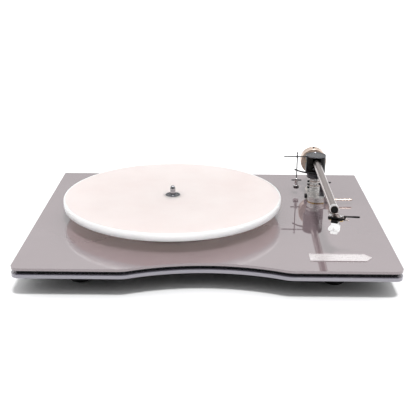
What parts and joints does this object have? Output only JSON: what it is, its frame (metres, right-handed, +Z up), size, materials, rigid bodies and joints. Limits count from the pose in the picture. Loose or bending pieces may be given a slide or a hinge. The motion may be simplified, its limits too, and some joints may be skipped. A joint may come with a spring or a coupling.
{
  "type": "turntable record player",
  "caption": "Belt-driven turntable with a two-layer scooped plinth, thick frosted platter and a pivoted arm with a hung bias weight",
  "frame": {"origin": "centre of the plinth's outline, on the surface the feet stand on", "axes": "+X to the right along the front edge, +Y to the back, +Z up"},
  "size_m": [0.459, 0.372, 0.1002],
  "materials": {
    "plinth_upper": "gloss",
    "plinth_lower": "gloss",
    "core_black": "matte",
    "frosted_acrylic": "satin",
    "foot_rubber": "matte",
    "belt_rubber": "matte",
    "fastener_steel": "satin",
    "black_steel": "satin",
    "polished_chrome": "polished",
    "arm_silver": "satin",
    "gloss_black": "gloss",
    "dark_grey_metal": "satin",
    "bearing_brass": "satin",
    "rose_copper": "polished",
    "machined_aluminium": "machined",
    "white_plastic": "satin",
    "black_plastic": "satin",
    "thrust_plastic": "satin",
    "badge_silver": "satin"
  },
  "bodies": {
    "plinth": {"top_plate": "plinth_upper", "core_plate": "core_black", "bottom_plate": "plinth_lower", "plate_screws": "black_steel", "name_plate": "badge_silver", "foot_front_left": "foot_rubber", "foot_front_right": "foot_rubber", "foot_back_left": "foot_rubber", "foot_back_right": "foot_rubber", "foot_screws": "fastener_steel", "bearing_housing": "bearing_brass", "bearing_nut": "fastener_steel", "thrust_pad": "thrust_plastic", "motor_can": "fastener_steel", "motor_screws": "black_steel", "drive_belt": "belt_rubber", "terminal_box": "black_steel", "phono_sockets": "bearing_brass", "dc_inlet": "black_plastic", "switch_body": "black_plastic", "arm_base": "polished_chrome", "arm_nut": "fastener_steel", "arm_pillar": "polished_chrome", "pillar_collar": "dark_grey_metal", "clamp_screws": "black_steel", "swing_bearings": "fastener_steel", "cue_block": "polished_chrome", "lift_cylinder": "dark_grey_metal", "arm_rest": "dark_grey_metal"},
    "platter_assembly": {"platter": "frosted_acrylic", "hub_ring": "dark_grey_metal", "sub_platter": "machined_aluminium", "spindle_shaft": "polished_chrome"},
    "motor_rotor": {"motor_shaft": "fastener_steel", "motor_pulley": "bearing_brass"},
    "power_rocker": {"switch_rocker": "black_plastic"},
    "arm_yoke": {"pivot_housing": "gloss_black", "housing_cap": "machined_aluminium", "swing_shaft": "fastener_steel", "tilt_bearings": "bearing_brass", "bias_rod": "dark_grey_metal"},
    "bias_pendulum": {"bias_hanger": "dark_grey_metal", "bias_weight": "bearing_brass"},
    "arm_wand": {"arm_tube": "arm_silver", "tube_collar": "polished_chrome", "tube_plug": "black_plastic", "tilt_axle": "fastener_steel", "counterweight_stub": "fastener_steel", "headshell": "arm_silver", "finger_lift": "black_steel", "cartridge_screws": "polished_chrome", "cartridge_nuts": "bearing_brass", "cartridge_mount": "black_plastic", "cartridge_body": "white_plastic", "stylus": "machined_aluminium"},
    "counterweight_set": {"counterweight": "rose_copper", "counterweight_screw": "fastener_steel"},
    "arm_lift": {"lift_plunger": "fastener_steel", "lift_bar": "black_steel"},
    "cue_handle": {"cue_lever": "rose_copper"}
  },
  "joints": [
    {"name": "platter_spin", "type": "hinge", "parent": "plinth", "child": "platter_assembly", "pos_m": [-0.0489, 0.0056, 0.037], "axis": [0, 0, 1], "continuous": true},
    {"name": "motor_spin", "type": "hinge", "parent": "plinth", "child": "motor_rotor", "pos_m": [-0.12934, 0.07309, 0.037], "axis": [0, 0, 1], "continuous": true},
    {"name": "power_switch", "type": "hinge", "parent": "plinth", "child": "power_rocker", "pos_m": [-0.2125, 0.02, 0.018], "axis": [0, 0, 1], "range_deg": [0, 18]},
    {"name": "arm_swing", "type": "hinge", "parent": "plinth", "child": "arm_yoke", "pos_m": [0.1553, 0.0948, 0.077], "axis": [0, 0, 1], "range_deg": [-54, 0]},
    {"name": "arm_tilt", "type": "hinge", "parent": "arm_yoke", "child": "arm_wand", "pos_m": [0.1553, 0.0948, 0.087], "axis": [-0.9999, 0.0141, 0], "range_deg": [0, 7]},
    {"name": "counterweight_slide", "type": "slide", "parent": "arm_wand", "child": "counterweight_set", "axis": [0.0141, 0.9997, -0.0218], "range_m": [-0.003, 0.01]},
    {"name": "cue_lift", "type": "slide", "parent": "plinth", "child": "arm_lift", "axis": [0, 0, 1], "range_m": [0, 0.007]},
    {"name": "cue_lever_turn", "type": "hinge", "parent": "plinth", "child": "cue_handle", "pos_m": [0.1698, 0.0548, 0.043], "axis": [0, -1, 0], "range_deg": [0, 40]},
    {"name": "bias_swing", "type": "hinge", "parent": "arm_yoke", "child": "bias_pendulum", "pos_m": [0.12817, 0.09298, 0.0938], "axis": [0.9999, -0.0141, 0], "range_deg": [-12, 12]}
  ],
  "couplings": [
    {"joint": "motor_spin", "follows": "platter_spin", "ratio": 12},
    {"joint": "cue_lift", "follows": "arm_tilt", "m_per_rad": 0.0572},
    {"joint": "cue_lever_turn", "follows": "arm_tilt", "ratio": 5.7142}
  ]
}
